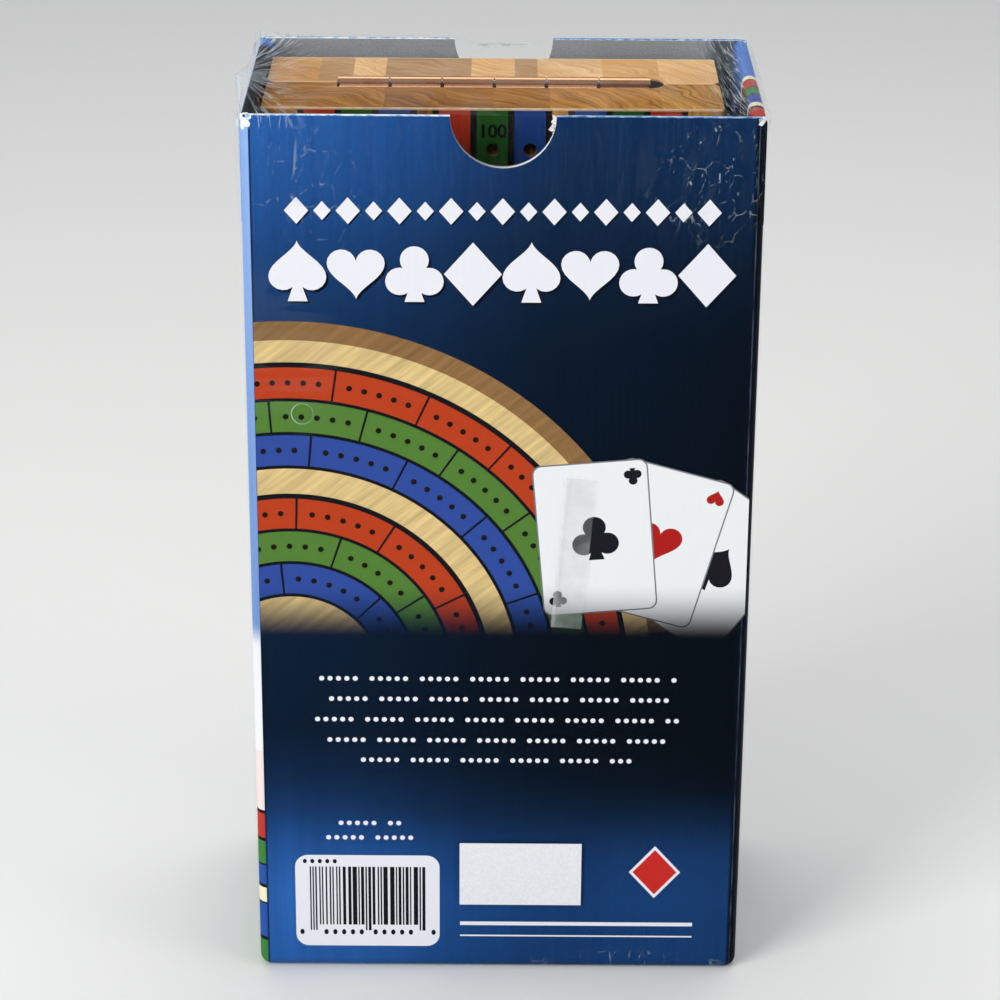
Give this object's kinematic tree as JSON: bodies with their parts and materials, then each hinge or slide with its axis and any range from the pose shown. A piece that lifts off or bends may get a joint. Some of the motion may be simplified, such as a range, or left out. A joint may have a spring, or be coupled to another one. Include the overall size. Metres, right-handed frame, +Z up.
{
  "type": "boxed folding cribbage board",
  "caption": "Upright open-top printed carton with thumb notches, holding a folded, hinged wooden cribbage board with a sliding peg-store cover, under clear film.",
  "frame": {"origin": "middle of the carton's underside, on the surface it stands on", "axes": "+Z up, the way the board is drawn out; -Y out of the printed front panel; +X to the right of someone who faces that panel"},
  "size_m": [0.1086, 0.0617, 0.1936],
  "materials": {
    "printed_board": "gloss varnish over print",
    "plain_board": "uncoated white liner",
    "track_wood": "clear lacquer",
    "hinge_metal": "dark bronzed",
    "pin_metal": "drawn wire",
    "red_peg": "moulded",
    "green_peg": "moulded",
    "blue_peg": "moulded",
    "clear_film": "clear shrink film",
    "label_paper": "coated paper",
    "tape_film": "clear adhesive tape"
  },
  "bodies": {
    "carton": {"carton_wrap": "printed_board", "bottom_closing_flap": "printed_board", "bottom_dust_flaps": "plain_board"},
    "board": {"finish_half": "track_wood", "hinge_leaf_finish": "hinge_metal", "hinge_pin": "pin_metal", "hinge_screws_finish": "hinge_metal", "peg_red_1": "red_peg", "peg_red_2": "red_peg", "peg_red_3": "red_peg", "peg_green_1": "green_peg", "peg_green_2": "green_peg", "peg_green_3": "green_peg", "peg_blue_1": "blue_peg", "peg_blue_2": "blue_peg", "peg_blue_3": "blue_peg"},
    "folding_half": {"start_half": "track_wood", "hinge_leaf_start": "hinge_metal", "hinge_screws_start": "hinge_metal"},
    "store_cover": {"peg_store_cover": "track_wood"},
    "film": {"shrink_film": "clear_film", "blank_label": "label_paper", "clear_tape": "tape_film"}
  },
  "joints": [
    {"name": "board_slide", "type": "slide", "parent": "carton", "child": "board", "axis": [0, 0, 1], "range_m": [0, 0.19]},
    {"name": "board_fold", "type": "hinge", "parent": "board", "child": "folding_half", "pos_m": [0, 0.0023, 0.1887], "axis": [-1, 0, 0], "range_deg": [0, 3.5]},
    {"name": "cover_slide", "type": "slide", "parent": "board", "child": "store_cover", "axis": [0, 0, 1], "range_m": [0, 0.036]},
    {"name": "film_lift", "type": "slide", "parent": "board", "child": "film", "axis": [0, 0, 1], "range_m": [0, 0.2]}
  ]
}
